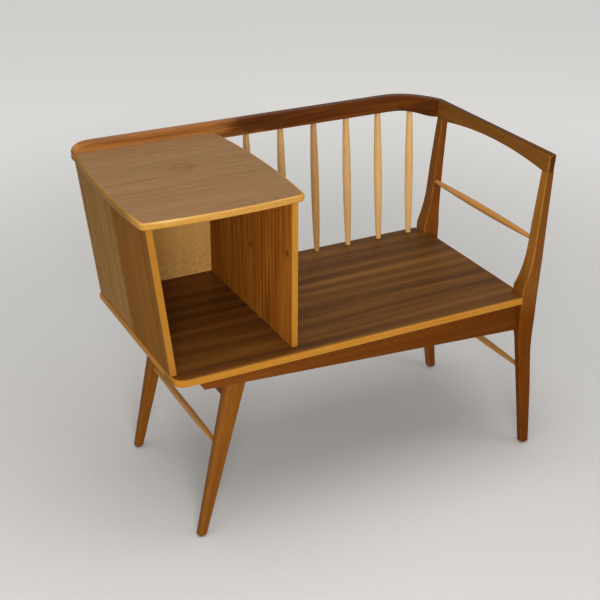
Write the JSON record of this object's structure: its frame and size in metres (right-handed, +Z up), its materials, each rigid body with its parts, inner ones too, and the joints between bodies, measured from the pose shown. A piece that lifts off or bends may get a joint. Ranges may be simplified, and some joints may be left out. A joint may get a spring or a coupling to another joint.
{
  "type": "telephone bench",
  "caption": "Low wooden bench with an open telephone cabinet at one end, a spindle back and one raised arm at the other end.",
  "frame": {"origin": "middle of the whole bench's outline seen from above, on the floor under the feet", "axes": "+X along the seat from the cabinet to the arm, +Y from the front to the back rail, +Z up"},
  "size_m": [0.9264, 0.464, 0.74],
  "materials": {
    "seat_veneer": "satin",
    "top_veneer": "satin",
    "panel_veneer": "satin",
    "lipping": "satin",
    "frame_wood": "satin",
    "rail_wood": "satin",
    "turned_wood": "satin",
    "plywood": "matt",
    "block_wood": "matt",
    "dowel_wood": "matt",
    "steel": "satin",
    "glide_plastic": "matt"
  },
  "bodies": {
    "root": {"seat_board": "seat_veneer", "cabinet_top": "top_veneer", "cabinet_left_panel": "panel_veneer", "cabinet_right_panel": "panel_veneer", "seat_front_lipping": "lipping", "seat_left_lipping": "lipping", "cabinet_left_lipping": "lipping", "cabinet_right_lipping": "lipping", "cabinet_top_lipping": "lipping", "front_apron": "frame_wood", "rear_apron": "frame_wood", "right_side_rail": "frame_wood", "cross_bearer": "frame_wood", "front_left_leg": "frame_wood", "back_left_leg": "frame_wood", "front_right_post": "frame_wood", "back_right_post": "frame_wood", "arm_rail": "frame_wood", "back_rail": "rail_wood", "left_stretcher": "turned_wood", "right_stretcher": "turned_wood", "arm_spindle": "turned_wood", "back_spindle_1": "turned_wood", "back_spindle_2": "turned_wood", "back_spindle_3": "turned_wood", "back_spindle_4": "turned_wood", "back_spindle_5": "turned_wood", "back_spindle_6": "turned_wood", "cabinet_back_panel": "plywood", "front_corner_block": "block_wood", "rear_corner_block": "block_wood", "glue_blocks": "block_wood", "top_dowels": "dowel_wood", "arm_dowels": "dowel_wood", "board_screws": "steel", "leg_screws": "steel", "panel_screws": "steel", "rail_screws": "steel", "back_panel_pins": "steel", "front_left_glide": "glide_plastic", "back_left_glide": "glide_plastic", "front_right_glide": "glide_plastic", "back_right_glide": "glide_plastic"}
  },
  "joints": []
}
